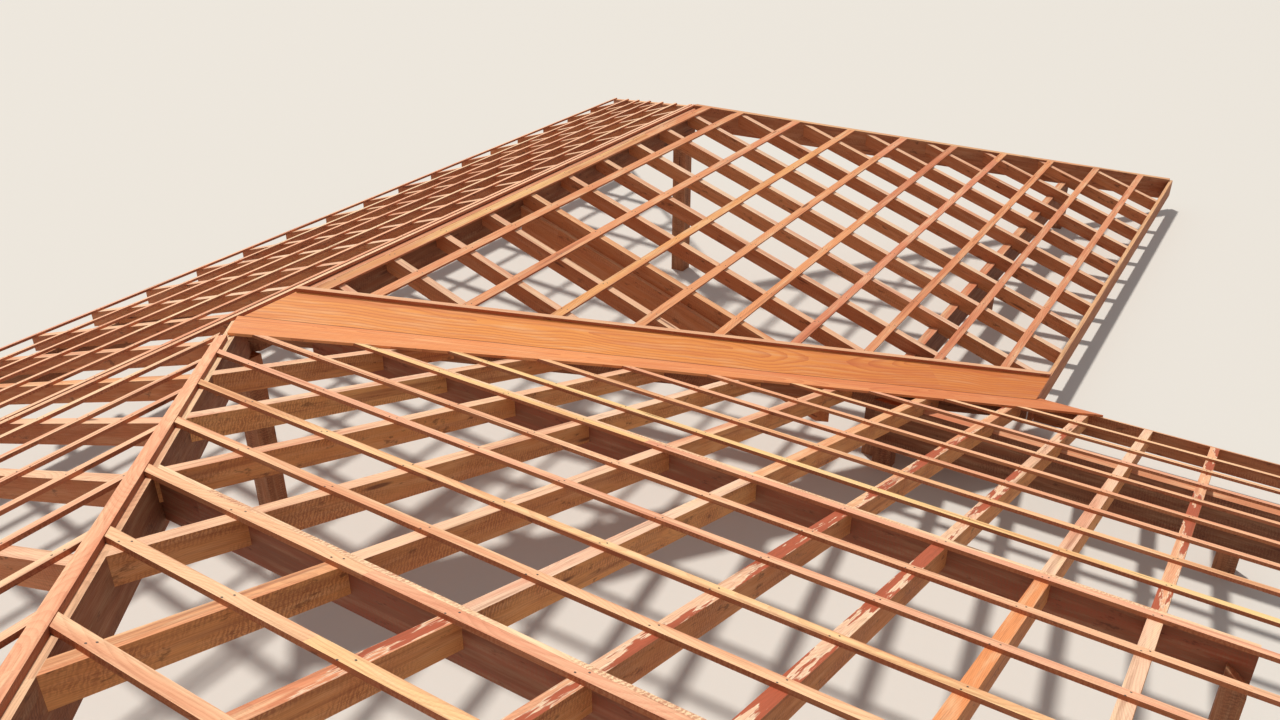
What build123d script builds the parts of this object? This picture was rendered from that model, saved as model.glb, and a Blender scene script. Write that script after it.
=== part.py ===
"""Timber roof frame where a ridged wing meets the near slope of a hipped roof.

The frame is seen from above, before it is tiled. Three roof planes of one pitch
meet under the junction: the near slope, the wing slope and the street slope.
The origin is the middle of the foot of the junction post. X runs along the
near slope's battens, Y runs along the ridge of the wing and Z is up.
"""
import os
from math import atan, cos, degrees, sqrt

from build123d import *

os.makedirs("parts", exist_ok=True)

# Pitch and timber sizes
SLOPE = 0.332
RAFTER_WIDTH = 50
RAFTER_DEPTH = 95
BEAM_WIDTH = 60
BEAM_DEPTH = 200
PURLIN_DEPTH = 160
VALLEY_BEAM_DEPTH = 115
PLATE_DEPTH = 200
NEAR_PLATE_DEPTH = 300
BATTEN_WIDTH = 50
BATTEN_THICKNESS = 15
HIP_STRIP_WIDTH = 48
HIP_STRIP_SHIFT = 16
HIP_STRIP_THICKNESS = 25
BOARD_THICKNESS = 15
FASCIA_THICKNESS = 25
FASCIA_DEPTH = 150
RAKE_THICKNESS = 30
RAKE_DEPTH = 180
POST_SIZE = 110
SIDE_POST_SIZE = 80
SIDE_POST_DROP = 85
SIDE_POST_BEVEL = 60
SEAT_DEPTH = 20

# Plan of the frame, measured from the junction of ridge, hip and valley
RIDGE_LENGTH = 4640
WING_EAVE = 3265
NEAR_EAVE = 3350
STREET_EAVE = 2165
WALL_LINE = 2480
STREET_WALL_LINE = 1900
BACK_EDGE = 2640
CUT_END = 4760
PURLIN_END = 4615
WING_RAKE_SKEW = 1.104
STREET_RAKE_SKEW = 0.955
PLATE_TOP = 450
PLATE_SETBACK = 130

# Spacing of the repeated timbers
GAUGE = 343
NEAR_BATTEN = 187
BATTENS_ABOVE = 7
BATTENS_BELOW = 8
WING_BATTEN = 262
WING_BATTENS = 9
STREET_GAUGE = 323
STREET_BATTEN = 220
STREET_BATTENS_ABOVE = 7
STREET_EAVE_BATTEN_SETBACK = 55
STREET_BATTEN_SHORT = 10
UPPER_PURLIN_SHIFT = 38
LOWER_PURLIN_SHIFT = 60
PURLIN_NOTCH = 14
UPPER_PURLIN_ROW = 5
UNDER_RAFTER_INDEX = 4
UNDER_RAFTER_LEDGE = 25

# Boards of the valley and the strips beside them
WING_BOARD_WIDTH = 245
NEAR_BOARD_WIDTH = 220
NEAR_BOARD_TOP_WIDTH = 365
NEAR_BOARD_TAPER = 1560
EDGE_STRIP_WIDTH = 25
EDGE_STRIP_HEIGHT = 35
RIDGE_STRIP = 68
STREET_RIDGE_STRIP = 30
HIP_STRIP_START = 300

# Heights and angles worked out from the sizes above
PITCH = degrees(atan(SLOPE))
STRETCH = 1 / cos(atan(SLOPE))
RAFTER_PLUMB = RAFTER_DEPTH * STRETCH
PEAK = PLATE_TOP - SEAT_DEPTH + RAFTER_PLUMB + SLOPE * WALL_LINE
DIAGONAL = sqrt(2)
HALF_BEAM = BEAM_WIDTH / 2
RIDGE_TOP = PEAK - SLOPE * HALF_BEAM
HIP_DROP = SLOPE * HALF_BEAM / DIAGONAL
REACH = 12000

near_rafters = [735 + 408 * i for i in range(7)] + [3560 + 370 * i for i in range(3)]
near_rafters.append(CUT_END - RAFTER_WIDTH / 2)
wing_rafters = [611 + 425 * i for i in range(6)] + [3160 + 437 * i for i in range(11)]
street_rafters = [-BACK_EDGE] + [-2402 + 412 * i for i in range(22)]


def height(run):
    """Height of the rafter tops at a plan distance out from the ridge."""
    return PEAK - SLOPE * run


def layer(plane, start, end, side, top, bottom):
    """Section of a sloping layer between two plan distances, above the rafter tops."""
    with BuildSketch(plane) as section:
        with BuildLine():
            Polyline(
                (side * start, height(start) + top),
                (side * end, height(end) + top),
                (side * end, height(end) + bottom),
                (side * start, height(start) + bottom),
                close=True,
            )
        make_face()
    return section.sketch


def bevelled_beam(plane, place):
    """Section of a beam along the near slope: top bevelled to the slope, underside level."""
    base = height(place) - PURLIN_DEPTH
    with BuildSketch(plane) as section:
        with BuildLine():
            Polyline(
                (place - HALF_BEAM, height(place - HALF_BEAM)),
                (place + HALF_BEAM, height(place + HALF_BEAM)),
                (place + HALF_BEAM, base),
                (place - HALF_BEAM, base),
                close=True,
            )
        make_face()
    return section.sketch


def past_near_slope(hip_clear, valley_clear):
    """Plan area beyond the hip and the valley, seen from the near slope."""
    hip = hip_clear * DIAGONAL
    valley = valley_clear * DIAGONAL
    return plan_area(
        (hip + REACH, -REACH),
        ((hip + valley) / 2, (hip - valley) / 2),
        (valley + REACH, REACH),
        (-REACH, REACH),
        (-REACH, -REACH),
    )


def past_valley(clear):
    """Plan area beyond the valley, seen from the wing slope."""
    shift = clear * DIAGONAL
    return plan_area((-REACH, shift - REACH), (REACH, shift + REACH), (REACH, -REACH))


def past_street_slope(ridge_clear, hip_clear):
    """Plan area beyond the ridge and the hip, seen from the street slope."""
    hip = hip_clear * DIAGONAL
    return plan_area(
        (-ridge_clear, REACH),
        (-ridge_clear, ridge_clear - hip),
        (REACH - hip, -REACH),
        (REACH, REACH),
    )


def past_wing_rake(clear):
    """Plan area beyond the skewed end of the wing slope."""
    line = RIDGE_LENGTH - clear * sqrt(1 + WING_RAKE_SKEW**2)
    return plan_area(
        (-REACH, line - WING_RAKE_SKEW * REACH),
        (REACH, line + WING_RAKE_SKEW * REACH),
        (-REACH, 2 * REACH),
    )


def past_street_rake(clear):
    """Plan area beyond the skewed end of the street slope."""
    line = RIDGE_LENGTH - clear * sqrt(1 + STREET_RAKE_SKEW**2)
    return plan_area(
        (REACH, line - STREET_RAKE_SKEW * REACH),
        (-REACH, line + STREET_RAKE_SKEW * REACH),
        (REACH, 2 * REACH),
    )


def plan_area(*corners):
    """Closed outline in plan."""
    with BuildSketch() as area:
        with BuildLine():
            Polyline(*corners, close=True)
        make_face()
    return area.sketch


def diagonal_beam(start, end, rise, drop, depth):
    """Section of the hip or valley beam, drawn along its own plan line from the junction."""
    turn = -1 if rise > 0 else 1
    with BuildSketch(Plane(origin=(0, 0, 0), x_dir=(1, turn, 0), z_dir=(turn, -1, 0))) as section:
        with BuildLine():
            top_start = PEAK - drop + rise * start / DIAGONAL
            top_end = PEAK - drop + rise * end / DIAGONAL
            Polyline(
                (start, top_start),
                (end, top_end),
                (end, top_end - depth),
                (start, top_start - depth),
                close=True,
            )
        make_face()
    return section.sketch


# Posts: square timber under the beams and the plates
street_plate_top = height(STREET_WALL_LINE) - RAFTER_PLUMB + SEAT_DEPTH
lower_purlin = NEAR_BATTEN + LOWER_PURLIN_SHIFT
upper_purlin = NEAR_BATTEN - UPPER_PURLIN_ROW * GAUGE + UPPER_PURLIN_SHIFT
post_line = PURLIN_END - POST_SIZE
wing_plate_end = RIDGE_LENGTH + WING_RAKE_SKEW * WALL_LINE - PLATE_SETBACK
street_plate_end = RIDGE_LENGTH + STREET_RAKE_SKEW * STREET_WALL_LINE - PLATE_SETBACK

with BuildPart() as posts:
    for x, y, top in (
        (0, 0, RIDGE_TOP - BEAM_DEPTH),
        (0, RIDGE_LENGTH - 2 * POST_SIZE, RIDGE_TOP - BEAM_DEPTH),
        (BACK_EDGE, -BACK_EDGE, height(-BACK_EDGE) - PURLIN_DEPTH),
        (post_line, -BACK_EDGE, height(-BACK_EDGE) - PURLIN_DEPTH),
        (post_line, upper_purlin, height(upper_purlin) - PURLIN_DEPTH),
        (WALL_LINE + POST_SIZE, WALL_LINE, PLATE_TOP - NEAR_PLATE_DEPTH),
        (post_line, WALL_LINE, PLATE_TOP - NEAR_PLATE_DEPTH),
        (WALL_LINE, WALL_LINE + POST_SIZE, PLATE_TOP - PLATE_DEPTH),
        (WALL_LINE, (WALL_LINE + wing_plate_end) / 2, PLATE_TOP - PLATE_DEPTH),
        (WALL_LINE, wing_plate_end - POST_SIZE, PLATE_TOP - PLATE_DEPTH),
        (-STREET_WALL_LINE, POST_SIZE - BACK_EDGE, street_plate_top - PLATE_DEPTH),
        (-STREET_WALL_LINE, (street_plate_end - BACK_EDGE) / 2, street_plate_top - PLATE_DEPTH),
        (-STREET_WALL_LINE, street_plate_end - POST_SIZE, street_plate_top - PLATE_DEPTH),
    ):
        with BuildSketch(Plane.XY):
            with Locations((x, y)):
                Rectangle(POST_SIZE, POST_SIZE)
        extrude(amount=top)

# Post nailed to the side of the lower purlin at its end, with a bevelled top
with BuildPart() as side_post:
    side_top = height(lower_purlin - HALF_BEAM) - SIDE_POST_DROP
    with BuildSketch(Plane.XZ.offset(HALF_BEAM - lower_purlin)):
        with BuildLine():
            Polyline(
                (PURLIN_END - SIDE_POST_SIZE, 0),
                (PURLIN_END, 0),
                (PURLIN_END, side_top - SIDE_POST_BEVEL),
                (PURLIN_END - SIDE_POST_SIZE, side_top),
                close=True,
            )
        make_face()
    extrude(amount=SIDE_POST_SIZE)

# Wall plates under the rafters' lower ends
with BuildPart() as plate_wing:
    with BuildSketch(Plane.XY.offset(PLATE_TOP - PLATE_DEPTH)):
        with Locations((WALL_LINE, WALL_LINE - HALF_BEAM)):
            Rectangle(BEAM_WIDTH, wing_plate_end - WALL_LINE, align=(Align.CENTER, Align.MIN))
    extrude(amount=PLATE_DEPTH)

with BuildPart() as plate_near:
    with BuildSketch(Plane.XY.offset(PLATE_TOP - NEAR_PLATE_DEPTH)):
        with Locations((WALL_LINE + HALF_BEAM, WALL_LINE)):
            Rectangle(CUT_END - WALL_LINE - HALF_BEAM, BEAM_WIDTH, align=(Align.MIN, Align.CENTER))
    extrude(amount=NEAR_PLATE_DEPTH)

with BuildPart() as plate_street:
    with BuildSketch(Plane.XY.offset(street_plate_top - PLATE_DEPTH)):
        with Locations((-STREET_WALL_LINE, -BACK_EDGE)):
            Rectangle(BEAM_WIDTH, street_plate_end + BACK_EDGE, align=(Align.CENTER, Align.MIN))
    extrude(amount=PLATE_DEPTH)

# Ridge beam of the wing, pointed where it fits between hip and valley
with BuildPart() as ridge_beam:
    with BuildSketch(Plane.XY.offset(RIDGE_TOP - BEAM_DEPTH)):
        corner = HALF_BEAM * DIAGONAL
        Rectangle(BEAM_WIDTH, 2 * RIDGE_LENGTH)
        add(
            plan_area(
                (0, corner),
                (REACH, corner + REACH),
                (REACH, -REACH),
                (-REACH, -REACH),
                (-REACH, corner + REACH),
            ),
            mode=Mode.SUBTRACT,
        )
        add(past_wing_rake(RAKE_THICKNESS), mode=Mode.SUBTRACT)
        add(past_street_rake(RAKE_THICKNESS), mode=Mode.SUBTRACT)
    extrude(amount=BEAM_DEPTH)

# Hip beam, climbing from the junction to the back edge of the near slope
with BuildPart() as hip_beam:
    extrude(
        diagonal_beam(-HALF_BEAM, BACK_EDGE * DIAGONAL, SLOPE, HIP_DROP, BEAM_DEPTH),
        amount=HALF_BEAM,
        both=True,
    )
    with BuildSketch():
        with Locations((0, HALF_BEAM - BACK_EDGE)):
            Rectangle(REACH, REACH, align=(Align.CENTER, Align.MAX))
    extrude(amount=2 * PEAK, mode=Mode.SUBTRACT)
    add(posts.part, mode=Mode.SUBTRACT)

# Valley beam, falling from the junction to the inner corner of the eaves
with BuildPart() as valley_beam:
    valley_end = (WING_EAVE - FASCIA_THICKNESS) * DIAGONAL - HALF_BEAM
    extrude(
        diagonal_beam(HALF_BEAM, valley_end, -SLOPE, 0, VALLEY_BEAM_DEPTH),
        amount=HALF_BEAM,
        both=True,
    )
    add(plate_wing.part, mode=Mode.SUBTRACT)
    add(plate_near.part, mode=Mode.SUBTRACT)

# Small three-cornered cuts in the purlins' tops, one beside the head of each rafter
with BuildPart() as purlin_notches:
    extrude(
        layer(Plane.YZ, upper_purlin, lower_purlin + HALF_BEAM, 1, PURLIN_NOTCH, -PURLIN_NOTCH),
        amount=PURLIN_END,
    )
    with BuildSketch():
        for x in near_rafters:
            for place in (upper_purlin, lower_purlin):
                with Locations((x - RAFTER_WIDTH / 2 - PURLIN_NOTCH, place)):
                    Triangle(a=PURLIN_NOTCH, c=PURLIN_NOTCH, B=90)
    extrude(amount=2 * PEAK, mode=Mode.INTERSECT)

# Beams along the near slope: two purlins and the timber along its back edge
with BuildPart() as purlins:
    for place in (upper_purlin, lower_purlin):
        extrude(bevelled_beam(Plane.YZ, place), amount=PURLIN_END)
    extrude(past_near_slope(HALF_BEAM, HALF_BEAM), amount=2 * PEAK, mode=Mode.SUBTRACT)
    add(purlin_notches.part, mode=Mode.SUBTRACT)

with BuildPart() as back_beam:
    extrude(bevelled_beam(Plane.YZ.offset(BACK_EDGE), -BACK_EDGE), amount=CUT_END - BACK_EDGE)

# Rafters of the near slope, in bays between the hip, the purlins, the valley and the eave
with BuildPart() as rafters_near:
    extrude(
        layer(Plane.YZ, HALF_BEAM - BACK_EDGE, NEAR_EAVE - FASCIA_THICKNESS, 1, 0, -RAFTER_PLUMB),
        amount=CUT_END,
    )
    with BuildSketch():
        for x in near_rafters:
            with Locations((x, 0)):
                Rectangle(RAFTER_WIDTH, REACH)
        for place in (upper_purlin, lower_purlin):
            with Locations((PURLIN_END - REACH, place)):
                Rectangle(2 * REACH, BEAM_WIDTH, mode=Mode.SUBTRACT)
        add(past_near_slope(HALF_BEAM, HALF_BEAM), mode=Mode.SUBTRACT)
    extrude(amount=2 * PEAK, mode=Mode.INTERSECT)
    add(plate_near.part, mode=Mode.SUBTRACT)

# Rafters of the wing slope
wing_length = RIDGE_LENGTH + WING_RAKE_SKEW * WING_EAVE
with BuildPart() as rafters_wing:
    extrude(
        layer(Plane.XZ.offset(-wing_length), HALF_BEAM, WING_EAVE - FASCIA_THICKNESS, 1, 0, -RAFTER_PLUMB),
        amount=wing_length,
    )
    with BuildSketch():
        for y in wing_rafters:
            with Locations((0, y)):
                Rectangle(REACH, RAFTER_WIDTH)
        add(past_valley(HALF_BEAM), mode=Mode.SUBTRACT)
        add(past_wing_rake(RAKE_THICKNESS), mode=Mode.SUBTRACT)
    extrude(amount=2 * PEAK, mode=Mode.INTERSECT)
    add(plate_wing.part, mode=Mode.SUBTRACT)

# Deeper timber lying under one of the wing rafters
with BuildPart() as under_rafter:
    extrude(
        layer(
            Plane.XZ.offset(UNDER_RAFTER_LEDGE - wing_rafters[UNDER_RAFTER_INDEX] - HALF_BEAM),
            HALF_BEAM,
            WALL_LINE,
            1,
            -RAFTER_PLUMB,
            -RAFTER_PLUMB - BEAM_DEPTH * STRETCH,
        ),
        amount=BEAM_WIDTH,
    )
    extrude(past_valley(HALF_BEAM), amount=2 * PEAK, mode=Mode.SUBTRACT)

# Rafters of the street slope
street_length = RIDGE_LENGTH + STREET_RAKE_SKEW * STREET_EAVE
with BuildPart() as rafters_street:
    extrude(
        layer(Plane.XZ.offset(-street_length), -BACK_EDGE, STREET_EAVE, -1, 0, -RAFTER_PLUMB),
        amount=street_length + BACK_EDGE + HALF_BEAM,
    )
    with BuildSketch():
        for y in street_rafters:
            with Locations((0, y)):
                Rectangle(REACH, RAFTER_WIDTH)
        add(past_street_slope(HALF_BEAM, HALF_BEAM), mode=Mode.SUBTRACT)
        add(past_street_rake(RAKE_THICKNESS), mode=Mode.SUBTRACT)
    extrude(amount=2 * PEAK, mode=Mode.INTERSECT)
    add(plate_street.part, mode=Mode.SUBTRACT)

# Plan outline of the valley board on the near slope, wider towards the hip
near_edge = NEAR_BOARD_WIDTH * DIAGONAL
near_top_edge = NEAR_BOARD_TOP_WIDTH * DIAGONAL
near_board_outline = plan_area(
    (0, 0),
    (WING_EAVE, WING_EAVE),
    (WING_EAVE, NEAR_EAVE),
    (NEAR_EAVE + near_edge, NEAR_EAVE),
    (NEAR_BOARD_TAPER, NEAR_BOARD_TAPER - near_edge),
    (near_top_edge / 2, -near_top_edge / 2),
)

# Battens, flat on the rafters
near_rows = [NEAR_BATTEN + GAUGE * i for i in range(-BATTENS_ABOVE, BATTENS_BELOW + 1)]
wing_rows = [RIDGE_STRIP] + [WING_BATTEN + GAUGE * i for i in range(WING_BATTENS)]
street_eave_batten = STREET_EAVE - STREET_EAVE_BATTEN_SETBACK
street_battens_below = int((street_eave_batten - STREET_GAUGE / 2 + STREET_BATTEN) / STREET_GAUGE)
street_rows = [STREET_RIDGE_STRIP, street_eave_batten] + [
    -STREET_BATTEN - STREET_GAUGE * i
    for i in range(-street_battens_below, STREET_BATTENS_ABOVE)
]


def batten_sections(plane, rows, side):
    """Cross-sections of battens lying on a slope, one for each plan distance."""
    with BuildSketch(plane) as sections:
        for row in rows:
            with Locations((side * row, height(row))):
                Rectangle(
                    BATTEN_WIDTH,
                    BATTEN_THICKNESS,
                    rotation=-side * PITCH,
                    align=(Align.CENTER, Align.MIN),
                )
    return sections.sketch


strip_clear = WING_BOARD_WIDTH + EDGE_STRIP_WIDTH
hip_near_clear = HIP_STRIP_WIDTH / 2 - HIP_STRIP_SHIFT
hip_street_clear = HIP_STRIP_WIDTH / 2 + HIP_STRIP_SHIFT
with BuildPart() as battens_near:
    extrude(batten_sections(Plane.YZ, near_rows, 1), amount=CUT_END)
    extrude(past_near_slope(hip_near_clear, 0), amount=2 * PEAK, mode=Mode.SUBTRACT)
    extrude(near_board_outline, amount=2 * PEAK, mode=Mode.SUBTRACT)

with BuildPart() as battens_wing:
    extrude(batten_sections(Plane.XZ.offset(-wing_length), wing_rows, 1), amount=wing_length)
    extrude(past_valley(strip_clear), amount=2 * PEAK, mode=Mode.SUBTRACT)
    extrude(past_wing_rake(RAKE_THICKNESS), amount=2 * PEAK, mode=Mode.SUBTRACT)

with BuildPart() as battens_street:
    extrude(
        batten_sections(Plane.XZ.offset(-street_length), street_rows, -1),
        amount=street_length + BACK_EDGE + HALF_BEAM,
    )
    extrude(past_street_slope(0, hip_street_clear), amount=2 * PEAK, mode=Mode.SUBTRACT)
    extrude(past_street_rake(STREET_BATTEN_SHORT), amount=2 * PEAK, mode=Mode.SUBTRACT)

# Flat strip along the top of the hip beam
with BuildPart() as hip_strip:
    strip_side = diagonal_beam(
        HIP_STRIP_START * DIAGONAL,
        BACK_EDGE * DIAGONAL,
        SLOPE,
        HIP_DROP - HIP_STRIP_THICKNESS,
        HIP_STRIP_THICKNESS,
    )
    extrude(strip_side, amount=hip_street_clear)
    extrude(strip_side, amount=-hip_near_clear)
    with BuildSketch():
        with Locations((0, HALF_BEAM - BACK_EDGE)):
            Rectangle(REACH, REACH, align=(Align.CENTER, Align.MAX))
    extrude(amount=2 * PEAK, mode=Mode.SUBTRACT)

# Valley boards, one on each slope, and the raised strip along the upper board's edge
wing_edge = WING_BOARD_WIDTH * DIAGONAL
board_top = RIDGE_STRIP - BATTEN_WIDTH
with BuildPart() as valley_board_wing:
    extrude(layer(Plane.XZ.offset(-wing_length), 0, WING_EAVE, 1, BOARD_THICKNESS, 0), amount=wing_length)
    extrude(
        plan_area(
            (board_top, board_top),
            (WING_EAVE, WING_EAVE),
            (WING_EAVE, WING_EAVE + wing_edge),
            (board_top, board_top + wing_edge),
        ),
        amount=2 * PEAK,
        mode=Mode.INTERSECT,
    )

with BuildPart() as valley_board_near:
    extrude(layer(Plane.YZ, -NEAR_EAVE, NEAR_EAVE, 1, BOARD_THICKNESS, 0), amount=CUT_END)
    extrude(near_board_outline, amount=2 * PEAK, mode=Mode.INTERSECT)

with BuildPart() as valley_edge_strip:
    strip_edge = strip_clear * DIAGONAL
    extrude(layer(Plane.XZ.offset(-wing_length), 0, WING_EAVE, 1, EDGE_STRIP_HEIGHT, 0), amount=wing_length)
    extrude(
        plan_area(
            (board_top, board_top + wing_edge),
            (WING_EAVE, WING_EAVE + wing_edge),
            (WING_EAVE, WING_EAVE + strip_edge),
            (board_top, board_top + strip_edge),
        ),
        amount=2 * PEAK,
        mode=Mode.INTERSECT,
    )

# Fascias along the eaves and boards along the skewed ends
with BuildPart() as fascia_near:
    extrude(
        layer(Plane.YZ.offset(WING_EAVE), NEAR_EAVE - FASCIA_THICKNESS, NEAR_EAVE, 1, 0, -FASCIA_DEPTH),
        amount=CUT_END - WING_EAVE,
    )

with BuildPart() as fascia_wing:
    extrude(
        layer(
            Plane.XZ.offset(-wing_length),
            WING_EAVE - FASCIA_THICKNESS,
            WING_EAVE,
            1,
            0,
            -FASCIA_DEPTH,
        ),
        amount=wing_length - WING_EAVE + FASCIA_THICKNESS,
    )
    extrude(past_wing_rake(0), amount=2 * PEAK, mode=Mode.SUBTRACT)

with BuildPart() as rake_board_wing:
    extrude(
        layer(
            Plane.XZ.offset(-wing_length),
            0,
            WING_EAVE - FASCIA_THICKNESS,
            1,
            BATTEN_THICKNESS * STRETCH,
            -RAKE_DEPTH,
        ),
        amount=wing_length,
    )
    with BuildSketch():
        add(past_wing_rake(RAKE_THICKNESS))
        add(past_wing_rake(0), mode=Mode.SUBTRACT)
    extrude(amount=2 * PEAK, mode=Mode.INTERSECT)

with BuildPart() as rake_board_street:
    extrude(
        layer(
            Plane.XZ.offset(-street_length),
            0,
            STREET_EAVE,
            -1,
            0,
            -RAKE_DEPTH,
        ),
        amount=street_length,
    )
    with BuildSketch():
        add(past_street_rake(RAKE_THICKNESS))
        add(past_street_rake(0), mode=Mode.SUBTRACT)
    extrude(amount=2 * PEAK, mode=Mode.INTERSECT)

nodes = {
    "posts": posts,
    "side_post": side_post,
    "under_rafter": under_rafter,
    "plate_wing": plate_wing,
    "plate_near": plate_near,
    "plate_street": plate_street,
    "ridge_beam": ridge_beam,
    "hip_beam": hip_beam,
    "valley_beam": valley_beam,
    "purlins": purlins,
    "back_beam": back_beam,
    "rafters_near": rafters_near,
    "rafters_wing": rafters_wing,
    "rafters_street": rafters_street,
    "battens_near": battens_near,
    "battens_wing": battens_wing,
    "battens_street": battens_street,
    "hip_strip": hip_strip,
    "valley_board_wing": valley_board_wing,
    "valley_board_near": valley_board_near,
    "valley_edge_strip": valley_edge_strip,
    "fascia_near": fascia_near,
    "fascia_wing": fascia_wing,
    "rake_board_wing": rake_board_wing,
    "rake_board_street": rake_board_street,
}
for name, node in nodes.items():
    node.part.label = name
    export_step(node.part, f"parts/{name}.step")
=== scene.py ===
from math import atan, cos, radians, sin

import bpy
from mathutils import Euler, Matrix, Vector
from mathutils.bvhtree import BVHTree


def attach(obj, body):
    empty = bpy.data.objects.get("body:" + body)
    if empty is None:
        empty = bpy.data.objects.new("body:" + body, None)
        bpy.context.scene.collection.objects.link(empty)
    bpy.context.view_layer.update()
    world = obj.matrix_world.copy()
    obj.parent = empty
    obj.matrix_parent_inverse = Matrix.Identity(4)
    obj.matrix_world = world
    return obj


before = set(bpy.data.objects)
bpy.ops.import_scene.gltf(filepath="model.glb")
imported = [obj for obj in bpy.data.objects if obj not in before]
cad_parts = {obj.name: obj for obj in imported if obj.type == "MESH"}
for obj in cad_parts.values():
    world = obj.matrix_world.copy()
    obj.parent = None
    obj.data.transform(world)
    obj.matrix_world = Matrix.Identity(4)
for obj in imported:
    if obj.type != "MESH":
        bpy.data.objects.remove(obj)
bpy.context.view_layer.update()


# Posts. Square posts of sawn hardwood, one under each bearing point of the frame and a
# smaller one beside the lower purlin. Their grain stands upright, and the saw has left
# a fine comb of marks across it, which makes the faces dull and a little furry.

MM = 0.001
PEAK = 1.3535  # height of the rafter tops where their planes meet over the junction
ALONG_X = (1, 0, 0)
UPRIGHT = (0, 0, 1)
BAYS_PER_ROW = 10  # more than any row has, so that every stick gets a number of its own
SIDE_FACE, UPPER_FACE = 0.6, 0.8  # the normal's z at which a face starts and ends turning upwards
WAVE_METRE = 0.314  # a wave texture of this scale repeats once a metre
SAW_MARKS = 15 * MM  # about four times their real pitch, so that they show
# How much of the pale and rosy patches shows on the side faces, kept low so that their painted
# shade stays
SIDE_PATCH_SHARE = 0.25  # how much of the upper faces' bloom shows on the cut faces
DRY_CREAM = "FBD9AC"
ROSY = "D2714A"
RED_HEART = "B24A26"
HEART_EDGE = "FBE2C0"
FOOT_RED = "BC5A30"
DARK_BROWN = "5A2C1C"
SIDE_BLOTCH_BROWN = "4A2A1C"


def linear(code):
    """The linear colour of an sRGB hex code."""
    channels = [int(code[i : i + 2], 16) / 255 for i in (0, 2, 4)]
    low = [c / 12.92 for c in channels]
    high = [((c + 0.055) / 1.055) ** 2.4 for c in channels]
    return tuple(h if c > 0.04045 else d for c, d, h in zip(channels, low, high)) + (1,)


def add(tree, kind, *values, named=None, **settings):
    """Adds a node with its settings and gives its inputs, in order or by name, each a value or a
    socket that is linked to it. Returns the node's first output."""
    node = tree.nodes.new(kind)
    for key, value in settings.items():
        setattr(node, key, value)
    open_sockets = [socket for socket in node.inputs if socket.enabled]
    given = list(zip(open_sockets, values))
    given += [(node.inputs[key], value) for key, value in (named or {}).items()]
    for socket, value in given:
        if isinstance(value, bpy.types.NodeSocket):
            tree.links.new(value, socket)
        elif value is not None:
            socket.default_value = value
    return next((socket for socket in node.outputs if socket.enabled), node)


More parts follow.
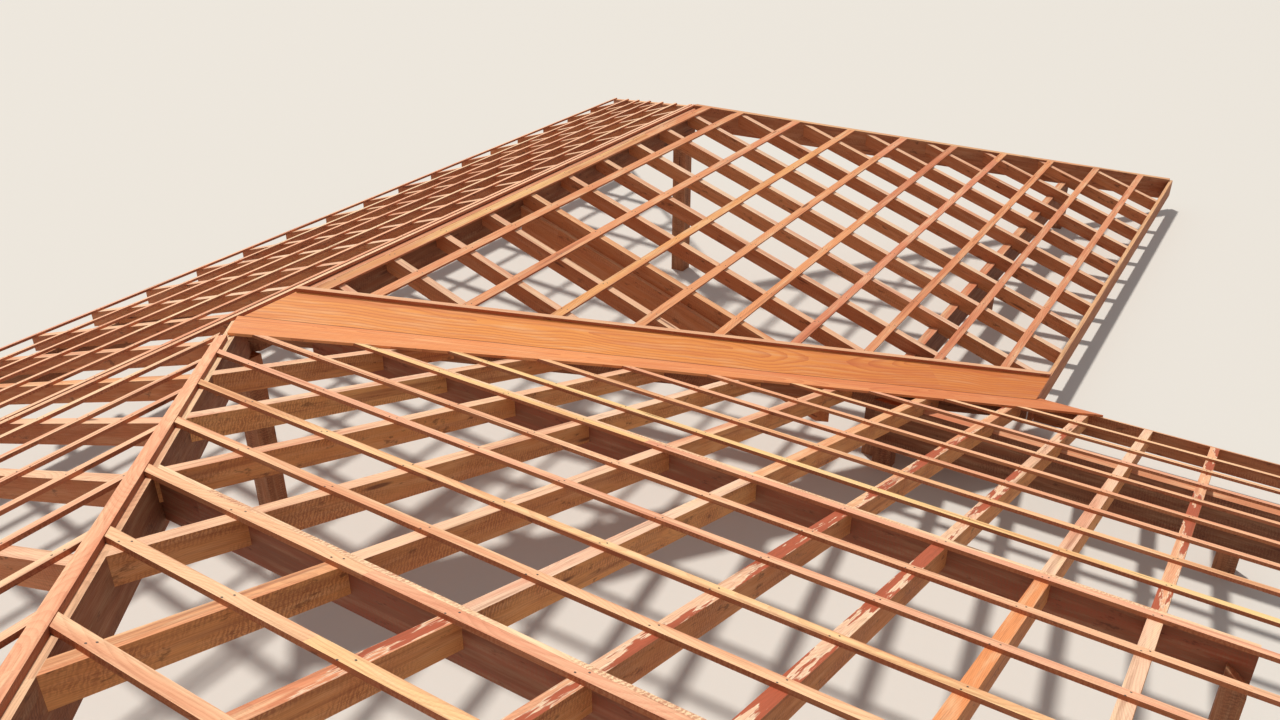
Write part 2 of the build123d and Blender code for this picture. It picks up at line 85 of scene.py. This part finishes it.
def timber(name, grain, across, tops, shade, sides_with_shade, sticks, length=9.0, ring=5, saw_top=0.1,
           saw_side=0.6, bays=(), red=(), tinted=(), arches=1.0, figure=0.22, streaky=0.6,
           deepen=None, joint_shadow_at=None, rough=0.7, knotty=0.75, dry=0.6):
    """Wood whose grain runs along one direction, in sticks laid side by side.

    Sticks are (first edge, pitch) in metres across the grain: every stick, and every length along
    it, has its own tone and figure. Where beams part a row into bays, each bay has a stick of its
    own. Red sticks are named by (row, bay, share), and tinted ones by (row, bay, share, tone),
    with the number of the length where a row has no bays. Rings are so many millimetres apart.
    """
    material = bpy.data.materials.new(name)
    material.use_nodes = True
    tree = material.node_tree
    tree.nodes.clear()
    along = Vector(grain).normalized()
    side = Vector(across).normalized()
    normal = along.cross(side)
    turn = Matrix((along, side, normal)).to_euler("XYZ")
    dark = linear(shade)

    # Place on the stick: along it, across it and above or below the roof plane
    place = add(tree, "ShaderNodeTexCoord").node.outputs["Object"]
    turned = add(tree, "ShaderNodeMapping", place, None, turn)
    axes = add(tree, "ShaderNodeSeparateXYZ", turned).node.outputs
    from_edge = add(tree, "ShaderNodeMath", axes[1], sticks[0], operation="SUBTRACT")
    count = add(tree, "ShaderNodeMath", from_edge, sticks[1], operation="DIVIDE")
    row = add(tree, "ShaderNodeMath", count, operation="FLOOR")
    part = add(tree, "ShaderNodeMath", count, operation="FRACT")
    from_middle = add(tree, "ShaderNodeMath", part, 0.5, operation="SUBTRACT")
    offset = add(tree, "ShaderNodeMath", from_middle, sticks[1], operation="MULTIPLY")
    depth = add(tree, "ShaderNodeMath", axes[2], PEAK * normal.z, operation="SUBTRACT")
    local = add(tree, "ShaderNodeCombineXYZ", axes[0], offset, depth)
    if bays:
        run = 0.0
        for beam in bays:
            past = add(tree, "ShaderNodeMath", axes[0], beam, operation="GREATER_THAN")
            run = add(tree, "ShaderNodeMath", past, run, operation="ADD")
    else:
        start = add(tree, "ShaderNodeTexWhiteNoise", row, noise_dimensions="1D")
        lengths = add(tree, "ShaderNodeMath", axes[0], length, operation="DIVIDE")
        lengths = add(tree, "ShaderNodeMath", lengths, start, operation="ADD")
        run = add(tree, "ShaderNodeMath", lengths, operation="FLOOR")
    cell = add(tree, "ShaderNodeCombineXYZ", row, run)
    lot = add(tree, "ShaderNodeTexWhiteNoise", cell, noise_dimensions="3D").node.outputs
    shift = add(tree, "ShaderNodeVectorMath", lot["Color"], 7.0, operation="SCALE")
    own = add(tree, "ShaderNodeVectorMath", local, shift, operation="ADD")

    def grained(along_scale, across_scale, detail=2.0, roughness=0.5):
        """A pattern drawn out along the grain. The scales are in features to the metre."""
        scale = (along_scale, across_scale, across_scale)
        at = add(tree, "ShaderNodeMapping", own, None, None, scale)
        return add(tree, "ShaderNodeTexNoise", at, 1.0, detail, roughness)

    def share_of(chosen):
        """The share given for the stick that is shaded, or 0 where it isn't one of the chosen."""
        stick = add(tree, "ShaderNodeMath", row, BAYS_PER_ROW, run, operation="MULTIPLY_ADD")
        share = 0.0
        for number, bay, most in chosen:
            chosen_stick = number * BAYS_PER_ROW + bay
            here = add(tree, "ShaderNodeMath", stick, chosen_stick, 0.5, operation="COMPARE")
            share = add(tree, "ShaderNodeMath", here, most, share, operation="MULTIPLY_ADD")
        return share

    # Growth rings round a heart that lies beside the stick and wanders along it
    drift = grained(0.8, 0.8).node.outputs["Color"]
    reach = (0.0, 0.24 * arches, 0.24 * arches)
    wander = add(tree, "ShaderNodeVectorMath", drift, (0.5, 0.5, 0.5), operation="SUBTRACT")
    wander = add(tree, "ShaderNodeVectorMath", wander, reach, operation="MULTIPLY")
    heart = add(tree, "ShaderNodeVectorMath", lot["Color"], (0.0, 0.05, 0.09), operation="MULTIPLY")
    bent = add(tree, "ShaderNodeVectorMath", wander, heart, operation="ADD")
    bent = add(tree, "ShaderNodeVectorMath", bent, local, operation="ADD")
    rings = add(tree, "ShaderNodeTexWave", bent, WAVE_METRE / (ring * MM), 0.8, 2.0, 4.0,
                wave_type="RINGS", rings_direction="X", wave_profile="SAW")
    pores = grained(9, 240, 3.0, 0.6)
    streaks = grained(1.1, 45, 3.0)
    pale = grained(3, 36, 4.0, 0.6)
    blush = grained(0.9, 14, 3.0)
    side_blotches = grained(9, 26, 4.0, 0.7)

    # Band-saw marks in a slanting comb, worn away in patches
    slant = (radians(4), radians(6), radians(9))
    comb_at = add(tree, "ShaderNodeMapping", own, None, slant)
    comb = add(tree, "ShaderNodeTexWave", comb_at, WAVE_METRE / SAW_MARKS, 8.0, 3.0, 3.0, 0.6)
    worn = add(tree, "ShaderNodeMapRange", grained(3, 14), 0.4, 0.62)
    comb = add(tree, "ShaderNodeMath", comb, worn, operation="MULTIPLY")

    # The side faces get darker, browner tones than the upper face: mostly painted shade, partly the
    # real paler, drier wood on top
    facing = add(tree, "ShaderNodeNewGeometry").node.outputs["Normal"]
    facing = add(tree, "ShaderNodeSeparateXYZ", facing).node.outputs[2]
    upper = add(tree, "ShaderNodeMapRange", facing, SIDE_FACE, UPPER_FACE)
    # The side tones are the wood's colour darkened by painted shade
    faces = []
    for tones in (sides_with_shade, tops):
        pick = add(tree, "ShaderNodeValToRGB", lot["Value"])
        stops = pick.node.color_ramp.elements
        while len(stops) < len(tones):
            stops.new(0.5)
        for i, tone in enumerate(tones):
            stops[i].position = i / (len(tones) - 1)
            stops[i].color = linear(tone)
        faces.append(pick)
    colour = add(tree, "ShaderNodeMix", upper, faces[0], faces[1], data_type="RGBA")

    # Single sticks of another wood, named for their place
    for number, bay, most, tone in tinted:
        share = share_of([(number, bay, most)])
        share = add(tree, "ShaderNodeMath", share, upper, operation="MULTIPLY")
        colour = add(tree, "ShaderNodeMix", share, colour, linear(tone), data_type="RGBA")

    # Pale dry patches and rosy ones, kept weak on the side faces so that their painted shade stays
    upper_patch_weight = add(tree, "ShaderNodeMapRange", facing, SIDE_FACE, UPPER_FACE, SIDE_PATCH_SHARE, 1.0)
    for pattern, low, high, most, tone in (
        (pale, 0.48, 0.7, dry, DRY_CREAM),
        (blush, 0.5, 0.68, 0.5, ROSY),
    ):
        share = add(tree, "ShaderNodeMapRange", pattern, low, high, 0.0, most)
        share = add(tree, "ShaderNodeMath", share, upper_patch_weight, operation="MULTIPLY")
        colour = add(tree, "ShaderNodeMix", share, colour, linear(tone), data_type="RGBA")

    # Bare red heartwood in long patches with ragged pale edges, on the sticks that show it
    if red:
        amount = share_of(red)
        ragged = grained(1.3, 14, 5.0, 0.65)
        ragged = add(tree, "ShaderNodeMath", amount, 0.2, ragged, operation="MULTIPLY_ADD")
        shown = add(tree, "ShaderNodeMath", amount, 0.05, operation="GREATER_THAN")
        shown = add(tree, "ShaderNodeMath", shown, upper, operation="MULTIPLY")
        for low, tone in ((0.565, HEART_EDGE), (0.585, RED_HEART)):
            patch = add(tree, "ShaderNodeMapRange", ragged, low, low + 0.02, 0.0, 0.94)
            patch = add(tree, "ShaderNodeMath", patch, shown, operation="MULTIPLY")
            colour = add(tree, "ShaderNodeMix", patch, colour, linear(tone), data_type="RGBA")

    # The darker growth rings, streaks and pores
    for pattern, low, high, most in (
        (rings, 0.45, 1.0, figure),
        (streaks, 0.54, 0.74, streaky),
        (pores, 0.5, 0.75, 0.35),
    ):
        share = add(tree, "ShaderNodeMapRange", pattern, low, high, 0.0, most)
        colour = add(tree, "ShaderNodeMix", share, colour, dark, data_type="RGBA")

    # Redder towards the foot, over a stretch given in metres along the grain
    if deepen:
        share = add(tree, "ShaderNodeMapRange", axes[0], deepen[0], deepen[1], 0.0, 0.45)
        colour = add(tree, "ShaderNodeMix", share, colour, linear(FOOT_RED), data_type="RGBA")

    # Painted shadow in the open joint beside the next board
    if joint_shadow_at is not None:
        in_joint_shadow = add(tree, "ShaderNodeMath", axes[1], joint_shadow_at, 3.5 * MM, operation="COMPARE")
        share = add(tree, "ShaderNodeMath", in_joint_shadow, 0.7, operation="MULTIPLY")
        colour = add(tree, "ShaderNodeMix", share, colour, linear(DARK_BROWN), data_type="RGBA")

    # Pin knots, darker blotches on the side and lower faces, and the shadow of the saw marks
    knots_at = add(tree, "ShaderNodeMapping", own, None, None, (1.1, 9.0, 9.0))
    knots = add(tree, "ShaderNodeTexVoronoi", knots_at, 1.0)
    share = add(tree, "ShaderNodeMapRange", knots, 0.05, 0.09, knotty, 0.0)
    colour = add(tree, "ShaderNodeMix", share, colour, linear(DARK_BROWN), data_type="RGBA")
    lower = add(tree, "ShaderNodeMapRange", facing, SIDE_FACE, UPPER_FACE, 1.0, 0.0)
    # Darker blotches, on the side and lower faces only
    side_blotch_share = add(tree, "ShaderNodeMapRange", side_blotches, 0.6, 0.68, 0.0, 0.6)
    side_blotch_share = add(tree, "ShaderNodeMath", side_blotch_share, lower, operation="MULTIPLY")
    colour = add(tree, "ShaderNodeMix", side_blotch_share, colour, linear(SIDE_BLOTCH_BROWN), data_type="RGBA")
    marks = add(tree, "ShaderNodeMapRange", facing, SIDE_FACE, UPPER_FACE, saw_side, saw_top)
    marks = add(tree, "ShaderNodeMath", marks, comb, operation="MULTIPLY")
    colour = add(tree, "ShaderNodeMix", marks, colour, dark, data_type="RGBA")

    relief = add(tree, "ShaderNodeMath", marks, 1.5, pores, operation="MULTIPLY_ADD")
    bump = add(tree, "ShaderNodeBump", named={
        "Strength": 0.5, "Distance": 1.0 * MM, "Height": relief})
    dull = add(tree, "ShaderNodeMapRange", pores, 0.3, 0.7, rough - 0.08, rough + 0.12)
    surface = add(tree, "ShaderNodeBsdfPrincipled", named={
        "Base Color": colour, "Roughness": dull, "Normal": bump, "IOR": 1.5,
        "Specular IOR Level": 0.3})
    add(tree, "ShaderNodeOutputMaterial", surface)
    return material


def finish_node(name, material):
    """Gives a CAD node its wood."""
    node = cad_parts[name]
    node.data.materials.clear()
    node.data.materials.append(material)


POST_TONES = ("A46A4A", "B0764F")

post_wood = timber(
    "sawn_hardwood_post", UPRIGHT, ALONG_X, POST_TONES, "5E3524", POST_TONES,
    sticks=(-0.3, 0.7), streaky=0.3)
for name in ("posts", "side_post"):
    finish_node(name, post_wood)


# Wall plates, ridge beam and the beam along the cut back edge. Deep rough-sawn joists of
# red hardwood laid level, which carry the feet and the heads of the rafters. Rough from
# the saw, they are dull, and their faces are darker and browner than their tops, mostly as painted
# shade.

ALONG_Y = (0, 1, 0)
JOIST_TOPS = ("DF9A70", "D68E66")
# The face tones are darker and browner than the tops, mostly as painted shade
JOIST_SIDES_WITH_SHADE = ("8E5A3C", "98613F", "805036")
JOIST_SHADE = "5C2C1E"

joist_along_x = timber(
    "rough_sawn_joist_x", ALONG_X, ALONG_Y, JOIST_TOPS, JOIST_SHADE, JOIST_SIDES_WITH_SHADE,
    sticks=(-3, 1.9), length=5, streaky=0.3)
joist_along_y = timber(
    "rough_sawn_joist_y", ALONG_Y, ALONG_X, JOIST_TOPS, JOIST_SHADE, JOIST_SIDES_WITH_SHADE,
    sticks=(-3, 1.9), length=5, streaky=0.3)
for name in ("plate_near", "back_beam"):
    finish_node(name, joist_along_x)
for name in ("plate_wing", "plate_street", "ridge_beam"):
    finish_node(name, joist_along_y)


# Hip and valley beams and the two purlins. Rough-sawn joists on edge, whose faces are
# painted a deep red-brown, mostly as painted shade. The purlins' tops are fresh and pale, crossed
# by a comb of red saw marks.

SLOPE = 0.332
HIP_RUN = (1, -1, SLOPE)
HIP_SIDE = (1, 1, 0)
VALLEY_RUN = (1, 1, -SLOPE)
VALLEY_SIDE = (1, -1, 0)

finish_node("hip_beam", timber(
    "rough_sawn_joist_hip", HIP_RUN, HIP_SIDE, ("F4CFA6", "F0C49A"), JOIST_SHADE, JOIST_SIDES_WITH_SHADE,
    sticks=(-1, 2), streaky=0.3))
finish_node("valley_beam", timber(
    "rough_sawn_joist_valley", VALLEY_RUN, VALLEY_SIDE, JOIST_TOPS, JOIST_SHADE, JOIST_SIDES_WITH_SHADE,
    sticks=(-1, 2), streaky=0.3))
# The purlins' dark brown face tones are painted shade
finish_node("purlins", timber(
    "fresh_sawn_purlin", ALONG_X, ALONG_Y, ("FFE2B6", "FDD8AC"), "A8452E", ("7E4E37", "86543A"),
    sticks=(-2.27, 1.0), length=4.2, saw_top=0.6, saw_side=0.3, streaky=0.2))


# Common, jack and valley rafters. Sawn sticks of mixed red and yellow hardwood, notched
# over the plates. Tops are pale where dry and red where the heartwood shows, and the
# sides are ribbed by the saw and browner, mostly as painted shade.

PITCH = atan(SLOPE)
DOWN_NEAR = (0, cos(PITCH), -sin(PITCH))
DOWN_WING = (cos(PITCH), 0, -sin(PITCH))
DOWN_STREET = (cos(PITCH), 0, sin(PITCH))
RAFTER_TOPS = ("EFAE7C", "F8CDAC", "F3BC94", "F9D2B2", "F5C49C")
# The side tones are darker and browner than the tops, mostly as painted shade
RAFTER_SIDES_WITH_SHADE = ("DA965A", "CA8450", "E2A062", "D48C52")
RAFTER_RED_SIDES_WITH_SHADE = ("C97A4A", "B96A40", "D48856", "C07446")
RAFTER_SHADE = "8C4A30"
SALMON_STICK = "DE8458"
ORANGE_STICK = "EC8E48"
PURLIN_LINES = (-1.997, -0.166)  # where the two purlins part the near rafters, along the grain
NEAR_RAFTER = 735 * MM  # the lines of the rafters in plan, from the junction, and their spacing
NEAR_SPACING = 408 * MM
WING_RAFTER = 611 * MM
WING_SPACING = 425 * MM
STREET_RAFTER = -2402 * MM
STREET_SPACING = 412 * MM


def centred(line, spacing):
    """The first edge and the pitch of sticks that have their middles on lines so far apart."""
    return line - spacing / 2, spacing


finish_node("rafters_near", timber(
    "sawn_rafter_near", DOWN_NEAR, ALONG_X, RAFTER_TOPS, RAFTER_SHADE, RAFTER_SIDES_WITH_SHADE,
    sticks=centred(NEAR_RAFTER, NEAR_SPACING), bays=PURLIN_LINES,
    red=((5, 0, 0.2), (6, 0, 0.5), (6, 1, 0.55), (6, 2, 0.15), (7, 1, 0.6), (7, 2, 0.25),
         (9, 2, 0.35)),
    tinted=((5, 0, 0.8, SALMON_STICK), (6, 0, 0.5, SALMON_STICK),
            (8, 1, 0.8, ORANGE_STICK), (9, 2, 0.4, ORANGE_STICK))))
wing_rafter = timber(
    "sawn_rafter_wing", DOWN_WING, ALONG_Y, RAFTER_TOPS, RAFTER_SHADE, RAFTER_RED_SIDES_WITH_SHADE,
    sticks=centred(WING_RAFTER, WING_SPACING), saw_side=0.3, streaky=0.35)
finish_node("rafters_wing", wing_rafter)
finish_node("under_rafter", wing_rafter)
finish_node("rafters_street", timber(
    "sawn_rafter_street", DOWN_STREET, ALONG_Y, RAFTER_TOPS, RAFTER_SHADE, RAFTER_RED_SIDES_WITH_SHADE,
    sticks=centred(STREET_RAFTER, STREET_SPACING), saw_side=0.3, streaky=0.35))


# Tile battens and the strip along the hip. Thin ripped laths of several woods, salmon,
# pink and yellow, nailed across the rafters in rows, each row made of lengths butted
# end to end, so that the tone changes along a row.

BATTEN_TOPS = ("F6B88E", "FACA9C", "F1AE8C", "FDD592", "F7BE9A", "F9C28A")
# The side tones are darker than the tops, mostly as painted shade
BATTEN_SIDES_WITH_SHADE = ("C07C50", "B87048", "BC7450")
BATTEN_SHADE = "A05030"
YELLOW_STRIP = "FCCB86"
GAUGE = 343 * MM
STREET_GAUGE = 323 * MM
NEAR_BATTEN = 187 * MM
WING_BATTEN = 262 * MM
STREET_BATTEN = 220 * MM
RIDGE_STRIP = 68 * MM
STREET_RIDGE_STRIP = -30 * MM
STREET_EAVE_BATTEN = -2110 * MM

finish_node("battens_near", timber(
    "ripped_batten_near", ALONG_X, ALONG_Y, BATTEN_TOPS, BATTEN_SHADE, BATTEN_SIDES_WITH_SHADE,
    sticks=(0.016, GAUGE), length=5.5))
finish_node("battens_wing", timber(
    "ripped_batten_wing", ALONG_Y, ALONG_X, ("F5A872", "E2926C", "F8B078", "EC9A74", "FAB872"),
    BATTEN_SHADE, BATTEN_SIDES_WITH_SHADE, sticks=(0.09, GAUGE), length=4.5,
    tinted=((-1, 0, 0.85, YELLOW_STRIP),)))
# These battens' side tones are likewise darker as painted shade
finish_node("battens_street", timber(
    "ripped_batten_street", ALONG_Y, ALONG_X, ("FFCDA6", "FFC098", "FFDAB0", "FFBEA0"),
    BATTEN_SHADE, ("CC7C54", "C47450"), sticks=(-0.064, STREET_GAUGE), length=3.2))
# The hip strip's dark side tones are painted shadow
finish_node("hip_strip", timber(
    "ripped_batten_hip", HIP_RUN, HIP_SIDE, ("F4AC84", "F6B48C"), BATTEN_SHADE,
    ("9C5A3C", "A4603F"), sticks=(-1, 2)))


# Valley boards and the strip along their edge. Wide planed boards of orange hardwood that
# make the bed of the gutter, with long arches of grain and pink streaks. Planing leaves
# them smooth, with a satin gloss that the sawn sticks haven't.

BOARD_SHADE = "C4683E"
WING_BOARD_TONES = ("F6A454", "F29C50")
NEAR_BOARD_TONES = ("F2A468", "EF9C62")
# One entry of this look paints a shadow line along the joint between the two boards
BOARD_LOOK = {
    "ring": 24, "saw_side": 0.0, "saw_top": 0.0, "arches": 1.5, "figure": 0.6, "streaky": 0.25,
    "deepen": (1.5, 4.2), "joint_shadow_at": 0.0, "rough": 0.5, "knotty": 0.0, "dry": 0.3}

finish_node("valley_board_wing", timber(
    "planed_board_wing", VALLEY_RUN, VALLEY_SIDE, WING_BOARD_TONES, BOARD_SHADE, WING_BOARD_TONES,
    sticks=(-1.18, 2), **BOARD_LOOK))
finish_node("valley_board_near", timber(
    "planed_board_near", VALLEY_RUN, VALLEY_SIDE, NEAR_BOARD_TONES, BOARD_SHADE, NEAR_BOARD_TONES,
    sticks=(-0.9, 2), **BOARD_LOOK))
# The edge strip's dark side tones are painted shade
finish_node("valley_edge_strip", timber(
    "planed_edge_strip", VALLEY_RUN, VALLEY_SIDE, ("F6C49A", "F2B98E"), BOARD_SHADE,
    ("9C5A3C", "A8643F"), sticks=(-1.2, 2), rough=0.6))


# Fascia and rake boards. Sawn boards nailed to the rafter ends along the eaves and along
# the two sloping ends of the ridge. Their outer faces are ribbed by the saw and darker
# orange-brown than their pale upper edges, mostly as painted shade.

FASCIA_TOPS = ("F4C08E", "EFB482")
# The face tones are darker than the tops, mostly as painted shade
FASCIA_SIDES_WITH_SHADE = ("B87850", "AE6C48")
FASCIA_SHADE = "8A472C"
WING_SKEW = 1.104  # run along the ridge for each metre out from it, at the two sloping ends
STREET_SKEW = 0.955

finish_node("fascia_near", timber(
    "sawn_fascia_x", ALONG_X, ALONG_Y, FASCIA_TOPS, FASCIA_SHADE, FASCIA_SIDES_WITH_SHADE,
    sticks=(2.3, 2), length=6, ring=10))
finish_node("fascia_wing", timber(
    "sawn_fascia_y", ALONG_Y, ALONG_X, FASCIA_TOPS, FASCIA_SHADE, FASCIA_SIDES_WITH_SHADE,
    sticks=(2.2, 2), length=6, ring=10))
finish_node("rake_board_wing", timber(
    "sawn_rake_wing", (1, WING_SKEW, -SLOPE), (WING_SKEW, -1, 0), FASCIA_TOPS, FASCIA_SHADE,
    FASCIA_SIDES_WITH_SHADE, sticks=(-4, 2), ring=10))
finish_node("rake_board_street", timber(
    "sawn_rake_street", (-1, STREET_SKEW, -SLOPE), (STREET_SKEW, 1, 0), FASCIA_TOPS, FASCIA_SHADE,
    FASCIA_SIDES_WITH_SHADE, sticks=(2, 2), ring=10))


# Nails. Two round steel wire nails hold each batten at each rafter, driven a little
# unevenly, their heads just proud of the wood and dulled to a mottled grey-brown by
# the weather.

OVERHEAD = 3.0
DOWN = Vector((0, 0, -1))
NAIL_LENGTH = 40 * MM

nail_steel = bpy.data.materials.new("weathered_wire_nail")
nail_steel.use_nodes = True
steel_tree = nail_steel.node_tree
steel_tree.nodes.clear()
steel_place = add(steel_tree, "ShaderNodeTexCoord").node.outputs["Object"]
mottle = add(steel_tree, "ShaderNodeTexNoise", steel_place, 400.0, 2.0)
steel_ramp = add(steel_tree, "ShaderNodeValToRGB", mottle)
steel_ramp.node.color_ramp.elements[0].color = linear("4A3F38")
steel_ramp.node.color_ramp.elements[1].color = linear("8C8580")
steel_surface = add(steel_tree, "ShaderNodeBsdfPrincipled", named={
    "Base Color": steel_ramp, "Metallic": 0.8, "Roughness": 0.5})
add(steel_tree, "ShaderNodeOutputMaterial", steel_surface)


def nail_tree(material):
    """Geometry nodes that set a pair of nail heads at each point, each a little off its mark."""
    tree = bpy.data.node_groups.new("nail_pairs", "GeometryNodeTree")
    face = tree.interface
    face.new_socket(name="Geometry", in_out="INPUT", socket_type="NodeSocketGeometry")
    for label, value in (("Head Radius", 3.2 * MM), ("Head Height", 1.2 * MM), ("Spread", 13 * MM)):
        socket = face.new_socket(name=label, in_out="INPUT", socket_type="NodeSocketFloat")
        socket.default_value = value
    face.new_socket(name="Tilt", in_out="INPUT", socket_type="NodeSocketVector")
    face.new_socket(name="Geometry", in_out="OUTPUT", socket_type="NodeSocketGeometry")
    given = add(tree, "NodeGroupInput").node.outputs
    head = add(tree, "GeometryNodeMeshCylinder", named={
        "Vertices": 8, "Radius": given["Head Radius"], "Depth": given["Head Height"]})
    pair = []
    for seed, sign in ((3, 1), (8, -1)):
        least, most = (-0.6, -0.6, 0.0), (0.6, 0.6, 0.05)
        corner = (0.7 * sign, 1.0 * sign, 0.0)
        jitter = add(tree, "FunctionNodeRandomValue", least, most, None, seed,
                     data_type="FLOAT_VECTOR")
        spot = add(tree, "ShaderNodeVectorMath", jitter, corner, operation="ADD")
        spot = add(tree, "ShaderNodeVectorMath", spot, given["Spread"], operation="SCALE")
        level = add(tree, "ShaderNodeVectorRotate", rotation_type="EULER_XYZ", named={
            "Vector": spot, "Rotation": given["Tilt"]})
        moved = add(tree, "GeometryNodeSetPosition", named={
            "Geometry": given["Geometry"], "Offset": level})
        pair.append(add(tree, "GeometryNodeInstanceOnPoints", named={
            "Points": moved, "Instance": head, "Rotation": given["Tilt"]}))
    both = add(tree, "GeometryNodeJoinGeometry", pair[0])
    tree.links.new(pair[1], both.node.inputs[0])
    painted = add(tree, "GeometryNodeSetMaterial", named={
        "Geometry": add(tree, "GeometryNodeRealizeInstances", both), "Material": material})
    add(tree, "NodeGroupOutput", painted)
    return tree


def drive_nails(name, batten_node, rafter_node, xs, ys, tilt):
    """Nails where the battens cross the rafters, at every x and y where both are under it."""
    depsgraph = bpy.context.evaluated_depsgraph_get()
    battens = BVHTree.FromObject(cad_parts[batten_node], depsgraph)
    rafters = BVHTree.FromObject(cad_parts[rafter_node], depsgraph)
    spots = []
    for x in xs:
        for y in ys:
            top = battens.ray_cast(Vector((x, y, OVERHEAD)), DOWN)[0]
            bearer = rafters.ray_cast(Vector((x, y, OVERHEAD)), DOWN)[0]
            if top and bearer and 0 < top.z - bearer.z < NAIL_LENGTH:
                spots.append(top)
    mesh = bpy.data.meshes.new(name)
    mesh.from_pydata(spots, [], [])
    nails = bpy.data.objects.new(name, mesh)
    bpy.context.scene.collection.objects.link(nails)
    modifier = nails.modifiers.new("drive", "NODES")
    modifier.node_group = nail_group
    for item in nail_group.interface.items_tree:
        if item.item_type == "SOCKET" and item.in_out == "INPUT" and item.name == "Tilt":
            modifier[item.identifier] = tilt
    evaluated = nails.evaluated_get(bpy.context.evaluated_depsgraph_get())
    shaped = bpy.data.meshes.new_from_object(evaluated)
    nails.modifiers.clear()
    nails.data = shaped
    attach(nails, "root")


nail_group = nail_tree(nail_steel)

# The lines of the rafters and of the batten rows, in plan, with those that are spaced apart
near_rafters = [NEAR_RAFTER + NEAR_SPACING * i for i in range(7)] + [3.56, 3.93, 4.3, 4.735]
near_rows = [NEAR_BATTEN + GAUGE * i for i in range(-7, 9)]
wing_rafters = [WING_RAFTER + WING_SPACING * i for i in range(6)]
wing_rafters += [3.16 + 0.437 * i for i in range(11)]
wing_rows = [RIDGE_STRIP] + [WING_BATTEN + GAUGE * i for i in range(9)]
street_rafters = [STREET_RAFTER + STREET_SPACING * i for i in range(22)]
street_rows = [STREET_RIDGE_STRIP, STREET_EAVE_BATTEN]
street_rows += [STREET_BATTEN + STREET_GAUGE * i for i in range(-6, 7)]
for slope, xs, ys, tilt in (
    ("near", near_rafters, near_rows, (-PITCH, 0, 0)),
    ("wing", wing_rows, wing_rafters, (0, PITCH, 0)),
    ("street", street_rows, street_rafters, (0, -PITCH, 0)),
):
    drive_nails(f"nails_{slope}", f"battens_{slope}", f"rafters_{slope}", xs, ys, tilt)


# Floor, light and camera. A pale level floor and backdrop, a high soft sun from beyond the
# ridge with an even sky, and a camera that looks down over the back edge as the
# photograph does.

FLOOR_EDGE = 60.0
CAMERA_PLACE = (4.3515, -3.1120, 3.7908)
CAMERA_TURN = (61.6446, -0.0143, 32.3012)  # in degrees: up from straight down, lean and heading

corner_signs = ((-1, -1), (1, -1), (1, 1), (-1, 1))
floor_corners = [(x * FLOOR_EDGE, y * FLOOR_EDGE, 0) for x, y in corner_signs]
floor_mesh = bpy.data.meshes.new("floor")
floor_mesh.from_pydata(floor_corners, [], [(0, 1, 2, 3)])
floor = bpy.data.objects.new("floor", floor_mesh)
bpy.context.scene.collection.objects.link(floor)
floor_paint = bpy.data.materials.new("pale_studio_floor")
floor_paint.use_nodes = True
floor_shader = floor_paint.node_tree.nodes["Principled BSDF"]
floor_shader.inputs["Base Color"].default_value = linear("DAD6CF")
floor_shader.inputs["Roughness"].default_value = 0.9
floor_mesh.materials.append(floor_paint)

world = bpy.data.worlds.new("studio")
world.use_nodes = True
sky_tree = world.node_tree
sky_tree.nodes.clear()
sky = add(sky_tree, "ShaderNodeBackground", linear("F2F4F8"), 0.4)
backdrop = add(sky_tree, "ShaderNodeBackground", linear("EDE6DC"), 1.0)
seen = add(sky_tree, "ShaderNodeLightPath").node.outputs["Is Camera Ray"]
add(sky_tree, "ShaderNodeOutputWorld", add(sky_tree, "ShaderNodeMixShader", seen, sky, backdrop))
bpy.context.scene.world = world

sun_lamp = bpy.data.lights.new("sun", "SUN")
sun_lamp.energy = 3.0
sun_lamp.angle = radians(4)
sun_lamp.color = (1.0, 0.96, 0.9)
sun = bpy.data.objects.new("sun", sun_lamp)
towards_sun = Vector((-0.45, 0.3, 1.0))
sun.rotation_euler = towards_sun.to_track_quat("Z", "Y").to_euler()
bpy.context.scene.collection.objects.link(sun)

lens = bpy.data.cameras.new("photo_view")
lens.sensor_width = 36
lens.lens = 30.94
lens.clip_end = 200
camera = bpy.data.objects.new("photo_view", lens)
camera_turn = Euler([radians(angle) for angle in CAMERA_TURN])
camera.matrix_world = Matrix.LocRotScale(Vector(CAMERA_PLACE), camera_turn, None)
bpy.context.scene.collection.objects.link(camera)
bpy.context.scene.camera = camera

bpy.context.scene.view_settings.view_transform = "Standard"
